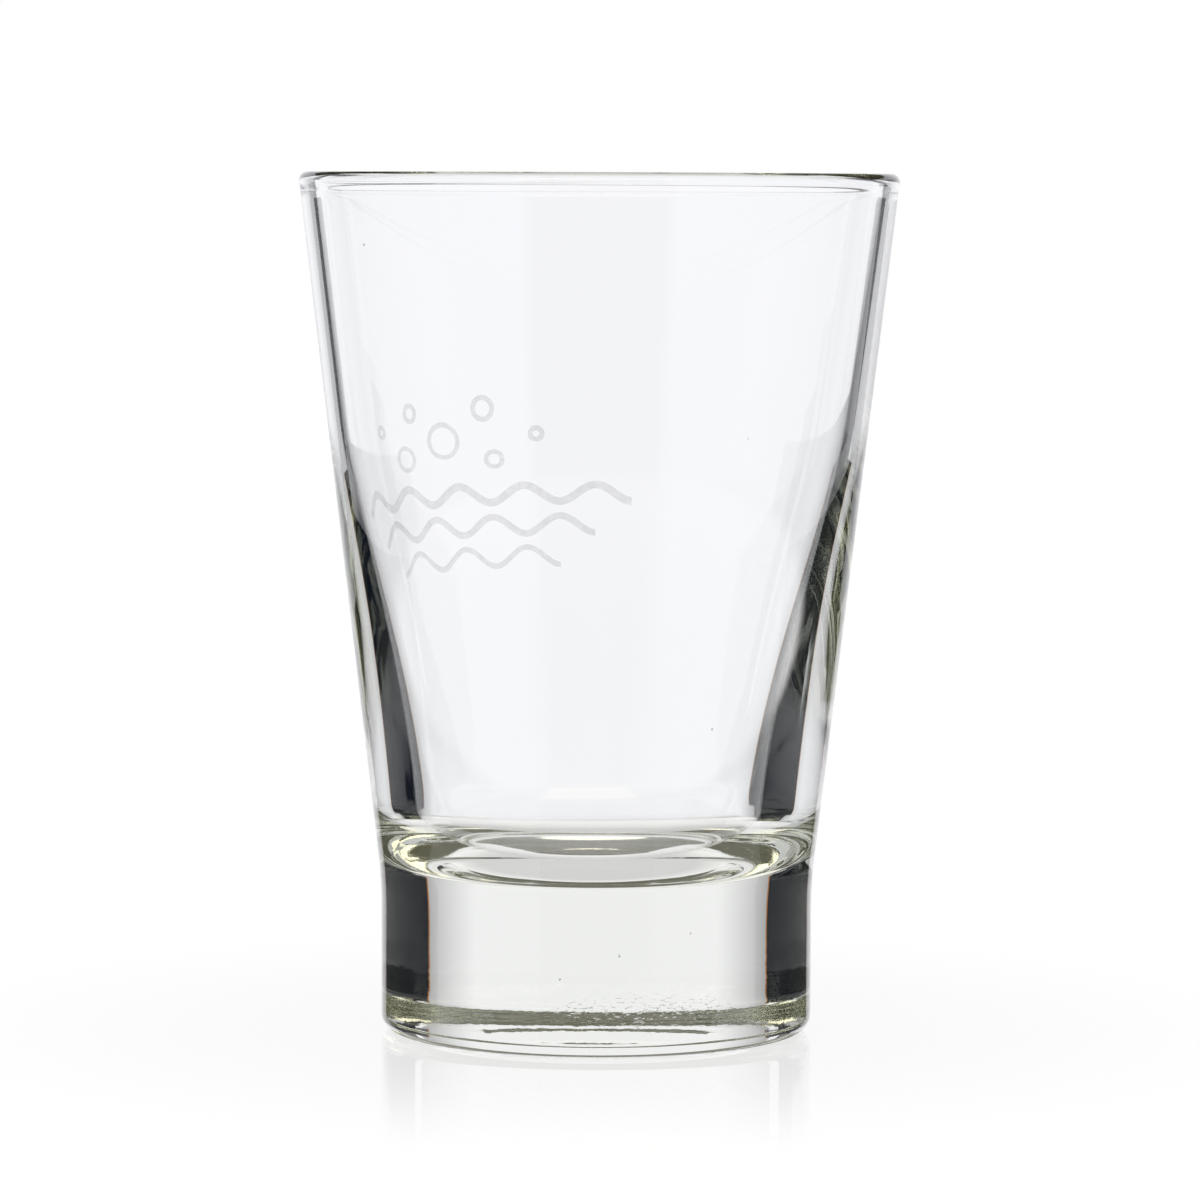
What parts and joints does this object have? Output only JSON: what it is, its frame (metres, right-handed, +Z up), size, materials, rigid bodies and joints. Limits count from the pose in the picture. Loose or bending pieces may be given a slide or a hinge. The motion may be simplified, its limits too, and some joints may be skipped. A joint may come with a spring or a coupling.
{
  "type": "water glass",
  "caption": "Conical clear water glass with a heavy solid foot, a thin rounded rim and a fired-on enamel print of waves and bubbles on its wall.",
  "frame": {"origin": "middle of the face that the glass stands on", "axes": "+Z up along the axis that the glass is turned about, -Y towards the viewer of the picture, +X to the viewer's right"},
  "size_m": [0.0766, 0.0766, 0.11],
  "materials": {
    "clear_glass": "fire-polished clear soda-lime glass with a faint yellow-green tint in thick sections",
    "white_enamel": "satin white glass enamel, screen printed and fired on"
  },
  "bodies": {
    "root": {"glass_body": "clear_glass", "print_wave_top": "white_enamel", "print_wave_middle": "white_enamel", "print_wave_bottom": "white_enamel", "print_bubble_1": "white_enamel", "print_bubble_2": "white_enamel", "print_bubble_3": "white_enamel", "print_bubble_4": "white_enamel", "print_bubble_5": "white_enamel", "print_bubble_6": "white_enamel", "print_bubble_7": "white_enamel"}
  },
  "joints": []
}
